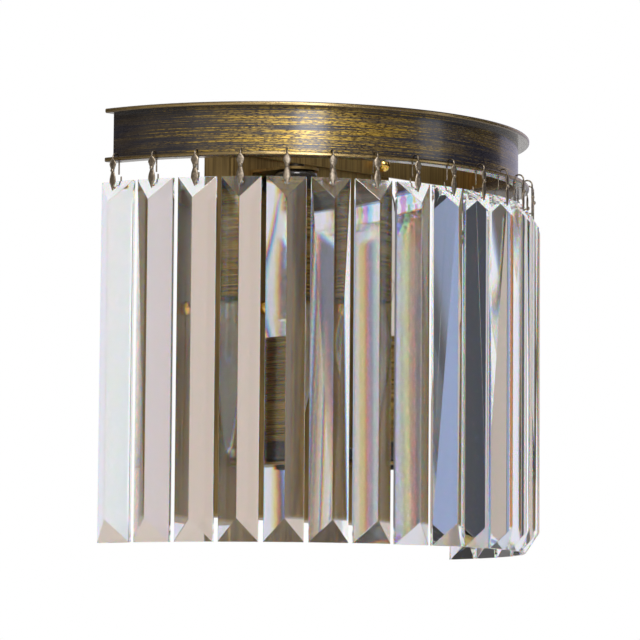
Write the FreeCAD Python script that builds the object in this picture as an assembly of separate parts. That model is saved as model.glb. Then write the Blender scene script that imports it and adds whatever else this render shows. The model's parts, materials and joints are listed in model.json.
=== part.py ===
"""Half-round wall sconce: a brushed metal ring hung with prism crystals, on a box backplate
with one lamp pointing down and one pointing up.

Frame: the wall is the plane Y = 0, the room is towards -Y, X runs along the wall and Z is up.
The origin is midway between the two wall screw slots. All sizes are in millimetres.
"""

import FreeCAD, Part
import math
import os

from FreeCAD import Vector

# ---- driving dimensions -------------------------------------------------------------------

# ring: a band with a thin rim at each edge, rolled to a little less than a half circle
RIM_RADIUS = 150.0  # outer radius of both rims
CENTRE_BEHIND_WALL = 10.0  # how far the ring's centre lies behind the wall
RIM_WIDTH = 6.5  # how far a rim stands out from the band
RIM_THICKNESS = 2.5
RIM_ROUND = 0.8  # rounding of a rim's outer edges
RING_HEIGHT = 30.0  # bottom of the lower rim to top of the top rim
BAND_WALL = 1.2
RING_WALL_GAP = 4.0  # ring ends to the wall
RING_TOP = 58.25  # top of the ring above the wall slots

# crystals: flat back, two long facets that meet in a ridge, a sloping facet at each end
CRYSTAL_LENGTH = 200.0
CRYSTAL_WIDTH = 22.0
CRYSTAL_EDGE = 2.0  # thickness of the long edges
CRYSTAL_RIDGE = 10.5  # thickness at the ridge
CRYSTAL_HIP = 12.3  # height of each sloping end facet
CRYSTAL_HOLE = 1.8  # diameter of the hanging hole
CRYSTAL_HOLE_DROP = 4.0  # hole below the crystal's top
CRYSTAL_DROP = 11.25  # crystal tops below the lower rim
CRYSTAL_GAP = 1.5  # least gap between neighbours
CRYSTAL_WALL_CLEARANCE = 0.5  # end crystals to the wall

# clips: a bent wire loop over the rim, a two-lobed strip and a prong through the crystal
WIRE = 0.9  # wire diameter
LOOP_CLEARANCE = 0.2  # least space between the wire loop and the land
RIM_HOLE = 2.5  # diameter of the hook holes
HOOK_LAND = 2.0  # rim metal between a hook hole and the rim's outer edge
HOOK_INSET = 0.2  # the loop's middle inside the rim's outer edge
HOOK_TAIL = 8.6  # the loop's inner leg below the rim's middle
LOBE_WIDTH = 4.8
LOWER_LOBE_WIDTH = 4.2
WAIST_WIDTH = 2.0
PRONG_RISE = 3.0  # the prong's end above the crystal's top
PRONG_GAP = 0.75  # the prong behind the crystal's back

# backplate: an open-backed sheet metal box
PLATE_WIDTH = 134.0
PLATE_HEIGHT = 220.0
PLATE_DEPTH = 22.0
PLATE_TOP = 54.5
PLATE_SHEET = 1.2
PLATE_ROUND = 2.0

# cross bar: closes the ring and clamps it on the backplate
BAR_HEIGHT = 12.0
BAR_THICKNESS = 2.0
BAR_RISE = 46.2  # bar's middle above the wall slots
BAR_TAB_LENGTH = 16.0
BAR_NUT_X = 54.0

# wall bracket, with weld studs
BRACKET_CLEARANCE = 1.5  # bracket to the inside of the backplate
BRACKET_MARGIN = 10.0  # bracket below the lower studs
BRACKET_SHEET = 1.5
SLOT_SPACING = 60.0
SLOT_WIDTH = 5.0
SLOT_LENGTH = 9.0
CABLE_HOLE = 22.0
CABLE_HOLE_DROP = 26.0
STUD = 4.0  # stud diameter
PLATE_NUT_X = 42.0
PLATE_NUT_DROP = 46.0
NUT_BALL = 8.4  # diameter of the ball on each nut
NUT_FOOT = 6.2
NUT_FOOT_HEIGHT = 1.2
NUT_GRIP = 5.0  # thread depth in a nut
THREAD_CLEARANCE = 0.05  # radial
SCREW_CLEARANCE = 0.2  # radial

# lamps: one hangs at the upper left, one stands at the lower right
LAMP_X = 39.0
LAMP_REACH = 45.5  # lamp axis from the wall
UPPER_CAP_TOP = 30.8
LOWER_CAP_BOTTOM = -131.1
CAP_DIAMETER = 25.0
CAP_HEIGHT = 11.5
CAP_WALL = 1.0
CAP_ROUND = 3.0
NOTCH_WIDTH = 6.0
SLEEVE_DIAMETER = 31.0
SLEEVE_LENGTH = 61.0
SLEEVE_WALL = 0.8
SLEEVE_BEAD = 0.6  # how far the bead stands out
SLEEVE_BEAD_HEIGHT = 7.0
SLEEVE_BEAD_SETBACK = 3.0
NIPPLE = 10.0
NIPPLE_BORE = 8.0
NIPPLE_LENGTH = 14.0
NIPPLE_STANDOUT = 2.5
HOLDER_NECK = 18.0
HOLDER_FLANGE = 28.0
HOLDER_FLANGE_HEIGHT = 3.0
HOLDER_BODY = 24.0
HOLDER_BODY_HEIGHT = 17.0
HOLDER_TUBE = 20.0
HOLDER_TUBE_HEIGHT = 26.0
SHELL_WALL = 0.4  # brass thread shell in the holder
BASE_DIAMETER = 13.9  # small Edison screw base
BASE_LENGTH = 23.0
BASE_FIT = 0.1  # radial, base in the holder's shell
INSULATOR_HEIGHT = 1.3
BUTTON_HEIGHT = 1.2
CONTACT_THICKNESS = 0.4
SEAT_GAP = 0.1  # bulb glass to the end of the holder
BULB_DIAMETER = 33.0
BULB_GLASS = 0.8
BULB_NECK = 15.0
BULB_WIDEST = 40.0  # base rim to the widest place
BULB_LENGTH = 103.5  # base rim to the tip

# lamp brackets, screws, leads
LEG_WIDTH = 26.0
LEG_SHEET = 1.5
FOOT_HEIGHT = 18.5
FOOT_SCREW_X = 9.0  # screws either side of the lead
SCREW = 4.0
SCREW_HEAD = 7.0
SCREW_HEAD_HEIGHT = 2.4
SCREW_LENGTH = 7.0
LEAD = 3.2  # diameter of the sheathed lead
LEAD_CLEARANCE = 0.1
LEAD_DEPTH = 9.0  # lead inside the backplate, from the wall
LEAD_BEND = 10.0
GROMMET_FLANGE = 10.0
GROMMET_FLANGE_HEIGHT = 1.2
GROMMET_NECK = 7.4
BLOCK_WIDTH = 28.0
BLOCK_HEIGHT = 16.0
BLOCK_DEPTH = 14.0
BLOCK_RISE = 2.0  # block's middle above the wall slots
BLOCK_POLE = 9.0  # pitch of the poles
BLOCK_SCREW = 4.4

# ---- derived places -----------------------------------------------------------------------

BAND_RADIUS = RIM_RADIUS - RIM_WIDTH
BAND_INNER = BAND_RADIUS - BAND_WALL
TOP_RIM_BOTTOM = RING_TOP - RIM_THICKNESS
LOWER_RIM_BOTTOM = RING_TOP - RING_HEIGHT
LOWER_RIM_TOP = LOWER_RIM_BOTTOM + RIM_THICKNESS
RING_CENTRE = Vector(0, CENTRE_BEHIND_WALL, 0)
UP = Vector(0, 0, 1)
FAR = 1000.0  # larger than the sconce, for cutting tools
SHORTEST = 0.001  # no straight run shorter than this between two bends

# the wire loop turns about a point of the land between a hook hole and the rim's edge
HOOK_RADIUS = RIM_RADIUS - HOOK_INSET
HOOK_Z = LOWER_RIM_BOTTOM + RIM_THICKNESS / 2
LAND_REACH = math.hypot(HOOK_LAND - HOOK_INSET, RIM_THICKNESS / 2)
LOOP_RADIUS = LAND_REACH + LOOP_CLEARANCE + WIRE / 2
HOLE_RADIUS_FROM_CENTRE = RIM_RADIUS - HOOK_LAND - RIM_HOLE / 2

# a crystal hangs with its weight under the hook
EDGE_AREA = CRYSTAL_WIDTH * CRYSTAL_EDGE
FACET_AREA = CRYSTAL_WIDTH * (CRYSTAL_RIDGE - CRYSTAL_EDGE) / 2
EDGE_MOMENT = EDGE_AREA * CRYSTAL_EDGE / 2
FACET_MOMENT = FACET_AREA * (CRYSTAL_EDGE + (CRYSTAL_RIDGE - CRYSTAL_EDGE) / 3)
CRYSTAL_BALANCE = (EDGE_MOMENT + FACET_MOMENT) / (EDGE_AREA + FACET_AREA)
CRYSTAL_BACK = HOOK_RADIUS - CRYSTAL_BALANCE  # radius of the flat backs
CRYSTAL_TOP = LOWER_RIM_BOTTOM - CRYSTAL_DROP
CRYSTAL_HOLE_Z = CRYSTAL_TOP - CRYSTAL_HOLE_DROP
HALF_WIDTH = CRYSTAL_WIDTH / 2
CORNER_RADIUS = math.hypot(CRYSTAL_BACK, HALF_WIDTH)
CORNER_ANGLE = math.atan2(HALF_WIDTH, CRYSTAL_BACK)
END_ANGLE = math.acos((CENTRE_BEHIND_WALL + CRYSTAL_WALL_CLEARANCE) / CORNER_RADIUS) - CORNER_ANGLE
LEAST_PITCH = 2 * math.atan((HALF_WIDTH + CRYSTAL_GAP / 2) / CRYSTAL_BACK)
CRYSTAL_COUNT = 1 + int(2 * END_ANGLE / LEAST_PITCH)
PITCH = 2 * END_ANGLE / (CRYSTAL_COUNT - 1)

PLATE_BOTTOM = PLATE_TOP - PLATE_HEIGHT
BLOCK_TOP = BLOCK_RISE + BLOCK_HEIGHT / 2
BLOCK_BOTTOM = BLOCK_RISE - BLOCK_HEIGHT / 2
NOTCH_DROP = CAP_HEIGHT / 2  # the lead enters the cap at mid height
HOLDER_TOP = -CAP_WALL  # lamp frame: 0 at the cap's closed end, the bulb towards -Z
SLEEVE_SEAT = -CAP_HEIGHT
FLANGE_TOP = SLEEVE_SEAT - SLEEVE_WALL
BODY_TOP = FLANGE_TOP - HOLDER_FLANGE_HEIGHT
TUBE_TOP = BODY_TOP - HOLDER_BODY_HEIGHT
TUBE_END = TUBE_TOP - HOLDER_TUBE_HEIGHT
SHELL_INNER = BASE_DIAMETER / 2 + BASE_FIT
SHELL_OUTER = SHELL_INNER + SHELL_WALL
BASE_RIM = TUBE_END - SEAT_GAP
BASE_TOP = BASE_RIM + BASE_LENGTH
CONTACT_SEAT = BASE_TOP + INSULATOR_HEIGHT + BUTTON_HEIGHT


# ---- helpers ------------------------------------------------------------------------------


def save(name, shape):
    shape.exportStep("parts/" + name + ".step")


def rod(radius, start, end):
    """A round bar from one point to another."""
    axis = end - start
    return Part.makeCylinder(radius, axis.Length, start, axis)


def box(low, high):
    size = high - low
    return Part.makeBox(size.x, size.y, size.z, low)


def turned(points):
    """A solid of revolution about Z from a closed outline of (radius, z) corners."""
    outline = Part.makePolygon([Vector(r, 0, z) for r, z in points + points[:1]])
    return Part.Face(outline).revolve(Vector(0, 0, 0), UP, 360)


def tube(outer, inner, low, high):
    """A tube about Z between two heights."""
    return turned([(inner, low), (outer, low), (outer, high), (inner, high)])


def in_front_of_wall(shape):
    """What is left of a ring once its ends are cut along the wall."""
    room = box(Vector(-FAR, -FAR, -FAR), Vector(FAR, -RING_WALL_GAP, FAR))
    return shape.common(room)


def bent_wire(points, bend, radius):
    """A round wire along straight runs joined by tangent arcs of one bend radius."""
    edges = []
    start = points[0]
    for before, corner, after in zip(points, points[1:], points[2:]):
        into = (corner - before).normalize()
        out = (after - corner).normalize()
        half_turn = into.getAngle(out) / 2
        cut = bend * math.tan(half_turn)
        arc_start = corner - into * cut
        arc_end = corner + out * cut
        inward = (out - into).normalize()
        middle = corner + inward * bend * (1 / math.cos(half_turn) - 1)
        if (arc_start - start).Length > SHORTEST:
            edges.append(Part.LineSegment(start, arc_start).toShape())
        edges.append(Part.Arc(arc_start, middle, arc_end).toShape())
        start = arc_end
    edges.append(Part.LineSegment(start, points[-1]).toShape())
    path = Part.Wire(edges)
    section = Part.Wire(Part.Circle(points[0], points[1] - points[0], radius).toShape())
    return path.makePipeShell([section], True, False)


# ---- ring ---------------------------------------------------------------------------------


def rim(bottom):
    """A flat rim from the band's inner face outwards, its outer edges rounded."""
    top = bottom + RIM_THICKNESS
    inner_low = Vector(BAND_INNER, 0, bottom)
    outer_low = Vector(RIM_RADIUS - RIM_ROUND, 0, bottom)
    side_low = Vector(RIM_RADIUS, 0, bottom + RIM_ROUND)
    side_high = Vector(RIM_RADIUS, 0, top - RIM_ROUND)
    outer_high = Vector(RIM_RADIUS - RIM_ROUND, 0, top)
    inner_high = Vector(BAND_INNER, 0, top)
    lag = RIM_ROUND * (1 - math.sqrt(0.5))
    low_middle = Vector(RIM_RADIUS - lag, 0, bottom + lag)
    high_middle = Vector(RIM_RADIUS - lag, 0, top - lag)
    edges = [
        Part.LineSegment(inner_low, outer_low).toShape(),
        Part.Arc(outer_low, low_middle, side_low).toShape(),
        Part.LineSegment(side_low, side_high).toShape(),
        Part.Arc(side_high, high_middle, outer_high).toShape(),
        Part.LineSegment(outer_high, inner_high).toShape(),
        Part.LineSegment(inner_high, inner_low).toShape(),
    ]
    ring = Part.Face(Part.Wire(edges)).revolve(Vector(0, 0, 0), UP, 360)
    ring.translate(RING_CENTRE)
    return in_front_of_wall(ring)


def band():
    wall = tube(BAND_RADIUS, BAND_INNER, LOWER_RIM_TOP, TOP_RIM_BOTTOM)
    wall.translate(RING_CENTRE)
    return in_front_of_wall(wall)


def ring_angles():
    """The angle of each crystal round the ring, from straight out of the wall."""
    return [PITCH * n - END_ANGLE for n in range(CRYSTAL_COUNT)]


def around_ring(shape, angle):
    """Turns a shape that points along -Y from the ring's centre to its place on the ring."""
    shape.rotate(Vector(0, 0, 0), UP, math.degrees(angle))
    shape.translate(RING_CENTRE)
    return shape


def lower_rim():
    shape = rim(LOWER_RIM_BOTTOM)
    for angle in ring_angles():
        low = Vector(0, -HOLE_RADIUS_FROM_CENTRE, LOWER_RIM_BOTTOM - RIM_THICKNESS)
        hole = rod(RIM_HOLE / 2, low, low + UP * RIM_THICKNESS * 3)
        shape = shape.cut(around_ring(hole, angle))
    return shape


def cross_bar():
    """A straight bar across the ring, with a tab at each end that lies on the band."""
    rear = -PLATE_DEPTH
    front = rear - BAR_THICKNESS
    low = BAR_RISE - BAR_HEIGHT / 2
    high = BAR_RISE + BAR_HEIGHT / 2
    bar = box(Vector(-RIM_RADIUS, front, low), Vector(RIM_RADIUS, rear, high))
    inside = Part.makeCylinder(BAND_INNER, FAR, RING_CENTRE - UP * FAR / 2)
    bar = bar.common(inside)
    lining = tube(BAND_INNER, BAND_INNER - BAR_THICKNESS, low, high)
    lining.translate(RING_CENTRE)
    tabs = lining.common(box(Vector(-FAR, front - BAR_TAB_LENGTH, low), Vector(FAR, front, high)))
    shape = bar.fuse(tabs).removeSplitter()
    for x in (-BAR_NUT_X, BAR_NUT_X):
        start = Vector(x, 0, BAR_RISE)
        shape = shape.cut(rod(STUD / 2 + SCREW_CLEARANCE, start, start - Vector(0, FAR, 0)))
    return shape


# ---- backplate and wall bracket -----------------------------------------------------------


def lamp_places():
    """Side, cap height and direction of the bulb for the upper and the lower lamp."""
    return {"upper": (-1, UPPER_CAP_TOP, -1), "lower": (1, LOWER_CAP_BOTTOM, 1)}


def lead_height(cap_end, bulb_way):
    return cap_end + bulb_way * NOTCH_DROP


def stud_places():
    """X, Z and the front of what each stud clamps."""
    plate = [(x, -PLATE_NUT_DROP, PLATE_DEPTH) for x in (-PLATE_NUT_X, PLATE_NUT_X)]
    bar = [(x, BAR_RISE, PLATE_DEPTH + BAR_THICKNESS) for x in (-BAR_NUT_X, BAR_NUT_X)]
    return plate + bar


def foot_screws(side):
    return [side * LAMP_X + offset for offset in (-FOOT_SCREW_X, FOOT_SCREW_X)]


def backplate():
    half = PLATE_WIDTH / 2
    outer = box(Vector(-half, -PLATE_DEPTH, PLATE_BOTTOM), Vector(half, 0, PLATE_TOP))
    rounded = [e for e in outer.Edges if e.BoundBox.YMin < -PLATE_DEPTH / 2]
    outer = outer.makeFillet(PLATE_ROUND, rounded)
    inset = Vector(PLATE_SHEET, 0, PLATE_SHEET)
    low = Vector(-half, PLATE_SHEET - PLATE_DEPTH, PLATE_BOTTOM) + inset
    high = Vector(half, PLATE_DEPTH, PLATE_TOP) - inset
    inner = box(low, high)
    rounded = [e for e in inner.Edges if e.BoundBox.YMin < -PLATE_DEPTH / 2]
    inner = inner.makeFillet(PLATE_ROUND - PLATE_SHEET, rounded)
    shape = outer.cut(inner)
    for x, z, front in stud_places():
        start = Vector(x, 0, z)
        shape = shape.cut(rod(STUD / 2 + SCREW_CLEARANCE, start, start - Vector(0, FAR, 0)))
    for side, cap_end, bulb_way in lamp_places().values():
        z = lead_height(cap_end, bulb_way)
        start = Vector(side * LAMP_X, 0, z)
        shape = shape.cut(rod(GROMMET_NECK / 2, start, start - Vector(0, FAR, 0)))
        for x in foot_screws(side):
            start = Vector(x, 0, z)
            shape = shape.cut(rod(SCREW / 2, start, start - Vector(0, FAR, 0)))
    return shape


def slot(x):
    """A wall screw slot, level and rounded at both ends."""
    reach = (SLOT_LENGTH - SLOT_WIDTH) / 2
    half = SLOT_WIDTH / 2
    rear = BRACKET_SHEET
    front = -BRACKET_SHEET * 2
    shape = box(Vector(x - reach, front, -half), Vector(x + reach, rear, half))
    for end in (x - reach, x + reach):
        shape = shape.fuse(rod(half, Vector(end, rear, 0), Vector(end, front, 0)))
    return shape


def wall_bracket():
    """A flat steel plate on the wall with two screw slots, a cable hole and four weld studs."""
    inset = PLATE_SHEET + BRACKET_CLEARANCE
    half = PLATE_WIDTH / 2 - inset
    low = Vector(-half, -BRACKET_SHEET, -PLATE_NUT_DROP - BRACKET_MARGIN)
    shape = box(low, Vector(half, 0, PLATE_TOP - inset))
    for x in (-SLOT_SPACING / 2, SLOT_SPACING / 2):
        shape = shape.cut(slot(x))
    cable = Vector(0, BRACKET_SHEET, -CABLE_HOLE_DROP)
    shape = shape.cut(rod(CABLE_HOLE / 2, cable, cable - Vector(0, BRACKET_SHEET * 3, 0)))
    for x, z, front in stud_places():
        tip = Vector(x, -front - NUT_GRIP, z)
        shape = shape.fuse(rod(STUD / 2, Vector(x, -BRACKET_SHEET / 2, z), tip))
    return shape


def ball_nuts():
    """A ball-headed cap nut on each stud, with a short foot."""
    radius = NUT_BALL / 2
    centre = NUT_FOOT_HEIGHT + math.sqrt(radius**2 - (NUT_FOOT / 2) ** 2)
    nuts = []
    for x, z, front in stud_places():
        seat = Vector(x, -front, z)
        out = Vector(0, -1, 0)
        ball = Part.makeSphere(radius, seat + out * centre)
        foot = rod(NUT_FOOT / 2, seat, seat + out * centre)
        bore_end = seat + out * (NUT_GRIP + THREAD_CLEARANCE)
        bore = rod(STUD / 2 + THREAD_CLEARANCE, seat - out, bore_end)
        nuts.append(ball.fuse(foot).cut(bore))
    return Part.makeCompound(nuts)


def terminal_block():
    """Three screw terminals in one moulded block, open at the top and bottom for the wires."""
    half = BLOCK_WIDTH / 2
    rear = -BRACKET_SHEET
    front = rear - BLOCK_DEPTH
    shape = box(Vector(-half, front, BLOCK_BOTTOM), Vector(half, rear, BLOCK_TOP))
    for x in (-BLOCK_POLE, 0, BLOCK_POLE):
        mouth = Vector(x, front, BLOCK_RISE)
        shape = shape.cut(rod(BLOCK_SCREW / 2, mouth, mouth + Vector(0, BLOCK_DEPTH / 3, 0)))
    return shape


# ---- lamps --------------------------------------------------------------------------------


def place_lamp(shape, place):
    """Moves a piece from the lamp frame to the upper or the lower lamp."""
    side, cap_end, bulb_way = lamp_places()[place]
    if bulb_way > 0:
        shape.rotate(Vector(0, 0, 0), Vector(0, 1, 0), 180)
    shape.translate(Vector(side * LAMP_X, -LAMP_REACH, cap_end))
    return shape


def holder_cap():
    """The domed cup between bracket and sleeve, notched for the lead on the wall side."""
    radius = CAP_DIAMETER / 2
    outer = Part.makeCylinder(radius, CAP_HEIGHT, Vector(0, 0, -CAP_HEIGHT))
    crown = [e for e in outer.Edges if e.BoundBox.ZMin > -CAP_WALL]
    outer = outer.makeFillet(CAP_ROUND, crown)
    depth = CAP_HEIGHT - CAP_WALL
    inner = Part.makeCylinder(radius - CAP_WALL, depth, Vector(0, 0, -CAP_HEIGHT))
    crown = [e for e in inner.Edges if e.BoundBox.ZMin > -CAP_WALL * 2]
    inner = inner.makeFillet(CAP_ROUND - CAP_WALL, crown)
    shape = outer.cut(inner)
    shape = shape.cut(rod(NIPPLE / 2, Vector(0, 0, -CAP_HEIGHT), Vector(0, 0, CAP_HEIGHT)))
    notch_low = Vector(-NOTCH_WIDTH / 2, 0, -CAP_HEIGHT - CAP_WALL)
    notch_high = Vector(NOTCH_WIDTH / 2, CAP_DIAMETER, NOTCH_WIDTH / 2 - NOTCH_DROP)
    return shape.cut(box(notch_low, notch_high))


def lamp_sleeve():
    """The metal candle sleeve, open to the bulb, with a holed end plate and a raised bead."""
    radius = SLEEVE_DIAMETER / 2
    end = SLEEVE_SEAT - SLEEVE_LENGTH
    bead_top = SLEEVE_SEAT - SLEEVE_BEAD_SETBACK
    bead_end = bead_top - SLEEVE_BEAD_HEIGHT
    outline = [
        (HOLDER_NECK / 2 + SCREW_CLEARANCE, SLEEVE_SEAT),
        (radius, SLEEVE_SEAT),
        (radius, bead_top + SLEEVE_BEAD),
        (radius + SLEEVE_BEAD, bead_top),
        (radius + SLEEVE_BEAD, bead_end),
        (radius, bead_end - SLEEVE_BEAD),
        (radius, end),
        (radius - SLEEVE_WALL, end),
        (radius - SLEEVE_WALL, FLANGE_TOP),
        (HOLDER_NECK / 2 + SCREW_CLEARANCE, FLANGE_TOP),
    ]
    return turned(outline)


def lampholder():
    """The moulded body: a neck, a flange under the sleeve's end plate and a tube for the shell."""
    neck_bore_end = SLEEVE_SEAT
    floor = CONTACT_SEAT + CONTACT_THICKNESS
    return turned(
        [
            (NIPPLE / 2, HOLDER_TOP),
            (HOLDER_NECK / 2, HOLDER_TOP),
            (HOLDER_NECK / 2, FLANGE_TOP),
            (HOLDER_FLANGE / 2, FLANGE_TOP),
            (HOLDER_FLANGE / 2, BODY_TOP),
            (HOLDER_BODY / 2, BODY_TOP),
            (HOLDER_BODY / 2, TUBE_TOP),
            (HOLDER_TUBE / 2, TUBE_TOP),
            (HOLDER_TUBE / 2, TUBE_END),
            (SHELL_OUTER, TUBE_END),
            (SHELL_OUTER, floor),
            (0, floor),
            (0, neck_bore_end),
            (NIPPLE / 2, neck_bore_end),
        ]
    )


def holder_contacts():
    """The brass thread shell and the centre contact inside a lampholder."""
    shell = tube(SHELL_OUTER, SHELL_INNER, TUBE_END, BASE_TOP - SHELL_WALL)
    centre = Part.makeCylinder(BASE_DIAMETER / 4, CONTACT_THICKNESS, Vector(0, 0, CONTACT_SEAT))
    return [shell, centre]


def bulb_base():
    """The screw shell, the insulator that closes it and the centre contact."""
    outer = BASE_DIAMETER / 2
    shell = tube(outer, outer - SHELL_WALL, BASE_RIM, BASE_TOP)
    button_radius = BASE_DIAMETER / 5
    waist = BASE_TOP + INSULATOR_HEIGHT
    seat = Vector(0, 0, BASE_TOP)
    insulator = Part.makeCone(outer, button_radius, INSULATOR_HEIGHT, seat)
    button = Part.makeCylinder(button_radius, CONTACT_SEAT - waist, Vector(0, 0, waist))
    return [shell, insulator, button]


def bulb_profile(inset):
    """The flame-shaped outline from the base rim to the tip, drawn in by a wall thickness."""
    widest = BULB_DIAMETER / 2
    neck = BULB_NECK / 2
    after = BULB_LENGTH - BULB_WIDEST
    stations = [
        (neck, 0.0),
        (neck * 1.04, BULB_WIDEST * 0.12),
        (widest * 0.62, BULB_WIDEST * 0.4),
        (widest * 0.86, BULB_WIDEST * 0.68),
        (widest, BULB_WIDEST),
        (widest * 0.84, BULB_WIDEST + after * 0.24),
        (widest * 0.5, BULB_WIDEST + after * 0.54),
        (widest * 0.31, BULB_WIDEST + after * 0.78),
        (widest * 0.14, BULB_WIDEST + after * 0.94),
    ]
    return [Vector(r - inset, 0, BASE_RIM - d) for r, d in stations]


def bulb_glass():
    """A hollow glass envelope, open at the base and closed at the tip."""
    tip = BASE_RIM - BULB_LENGTH
    outer = bulb_profile(0) + [Vector(0, 0, tip)]
    inner = bulb_profile(BULB_GLASS) + [Vector(0, 0, tip + BULB_GLASS * 2)]
    solids = []
    for points in (outer, inner):
        curve = Part.BSplineCurve()
        curve.interpolate(points)
        side = curve.toShape()
        axis = Part.LineSegment(points[-1], Vector(0, 0, BASE_RIM)).toShape()
        mouth = Part.LineSegment(Vector(0, 0, BASE_RIM), points[0]).toShape()
        face = Part.Face(Part.Wire([side, axis, mouth]))
        solids.append(face.revolve(Vector(0, 0, 0), UP, 360))
    return solids[0].cut(solids[1])


def lamp_bracket():
    """An angle bracket: a leg over the cap and a foot down the backplate."""
    wall_side = LAMP_REACH - PLATE_DEPTH
    half = LEG_WIDTH / 2
    leg = box(Vector(-half, 0, 0), Vector(half, wall_side, LEG_SHEET))
    leg = leg.fuse(Part.makeCylinder(half, LEG_SHEET))
    foot_low = Vector(-half, wall_side - LEG_SHEET, LEG_SHEET - FOOT_HEIGHT)
    foot = box(foot_low, Vector(half, wall_side, LEG_SHEET))
    shape = leg.fuse(foot).removeSplitter()
    shape = shape.cut(rod(NIPPLE / 2, Vector(0, 0, -CAP_HEIGHT), Vector(0, 0, CAP_HEIGHT)))
    across = Vector(0, CAP_DIAMETER * 2, 0)
    lead = Vector(0, 0, -NOTCH_DROP)
    window = rod(GROMMET_FLANGE / 2 + SCREW_CLEARANCE, lead, lead + across)
    shape = shape.cut(window)
    for x in (-FOOT_SCREW_X, FOOT_SCREW_X):
        start = lead + Vector(x, 0, 0)
        shape = shape.cut(rod(SCREW / 2 + SCREW_CLEARANCE, start, start + across))
    return shape


def lamp_nipple():
    """The threaded tube that joins a bracket to its lampholder."""
    top = LEG_SHEET + NIPPLE_STANDOUT
    return tube(NIPPLE / 2, NIPPLE_BORE / 2, top - NIPPLE_LENGTH, top)


def for_both_lamps(pieces):
    """The same small pieces at the upper and at the lower lamp, as separate solids."""
    solids = [place_lamp(piece.copy(), place) for place in lamp_places() for piece in pieces]
    return Part.makeCompound(solids)


def bracket_screws():
    """Pan-head screws through each foot into the backplate."""
    screws = []
    for side, cap_end, bulb_way in lamp_places().values():
        for x in foot_screws(side):
            seat = Vector(x, -PLATE_DEPTH - LEG_SHEET, lead_height(cap_end, bulb_way))
            head = rod(SCREW_HEAD / 2, seat, seat - Vector(0, SCREW_HEAD_HEIGHT, 0))
            crown = [e for e in head.Edges if e.BoundBox.YMax < seat.y - SCREW_HEAD_HEIGHT / 2]
            head = head.makeFillet(SCREW_HEAD_HEIGHT / 2, crown)
            shank = rod(SCREW / 2, seat, seat + Vector(0, SCREW_LENGTH, 0))
            screws.append(head.fuse(shank))
    return Part.makeCompound(screws)


def lead_grommets():
    """A rubber ring in each lead hole of the backplate."""
    grommets = []
    for side, cap_end, bulb_way in lamp_places().values():
        z = lead_height(cap_end, bulb_way)
        front = Vector(side * LAMP_X, -PLATE_DEPTH, z)
        rear = front + Vector(0, PLATE_SHEET, 0)
        lip = Vector(0, GROMMET_FLANGE_HEIGHT, 0)
        shape = rod(GROMMET_NECK / 2, front, rear)
        shape = shape.fuse(rod(GROMMET_FLANGE / 2, front, front - lip))
        shape = shape.fuse(rod(GROMMET_FLANGE / 2, rear, rear + lip))
        bore = rod(LEAD / 2 + LEAD_CLEARANCE, front - lip * 2, rear + lip * 2)
        grommets.append(shape.cut(bore))
    return Part.makeCompound(grommets)


def lamp_leads():
    """A sheathed lead from the terminal block to each lampholder, inside the backplate."""
    leads = []
    for side, cap_end, bulb_way in lamp_places().values():
        block_end = BLOCK_TOP if bulb_way < 0 else BLOCK_BOTTOM
        z = lead_height(cap_end, bulb_way)
        start_x = side * BLOCK_POLE
        holder = HOLDER_NECK / 2 - LAMP_REACH
        points = [
            Vector(start_x, -LEAD_DEPTH, block_end),
            Vector(start_x, -LEAD_DEPTH, z),
            Vector(side * LAMP_X, -LEAD_DEPTH, z),
            Vector(side * LAMP_X, holder, z),
        ]
        leads.append(points)
    return leads


# ---- crystals and clips -------------------------------------------------------------------


def crystal():
    """The prism in its place at the middle of the ring, pointing along -Y."""
    top = CRYSTAL_TOP
    bottom = CRYSTAL_TOP - CRYSTAL_LENGTH
    back = -CRYSTAL_BACK
    edge = back - CRYSTAL_EDGE
    ridge = back - CRYSTAL_RIDGE
    half = HALF_WIDTH
    section = [
        Vector(-half, back, bottom),
        Vector(half, back, bottom),
        Vector(half, edge, bottom),
        Vector(0, ridge, bottom),
        Vector(-half, edge, bottom),
    ]
    face = Part.Face(Part.makePolygon(section + section[:1]))
    prism = face.extrude(UP * CRYSTAL_LENGTH)
    side = [
        Vector(-FAR, back + 1, bottom),
        Vector(-FAR, edge, bottom),
        Vector(-FAR, ridge, bottom + CRYSTAL_HIP),
        Vector(-FAR, ridge, top - CRYSTAL_HIP),
        Vector(-FAR, edge, top),
        Vector(-FAR, back + 1, top),
    ]
    hips = Part.Face(Part.makePolygon(side + side[:1])).extrude(Vector(2 * FAR, 0, 0))
    shape = prism.common(hips)
    hole = Vector(0, 0, CRYSTAL_HOLE_Z)
    return shape.cut(rod(CRYSTAL_HOLE / 2, hole, hole - Vector(0, FAR, 0)))


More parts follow.
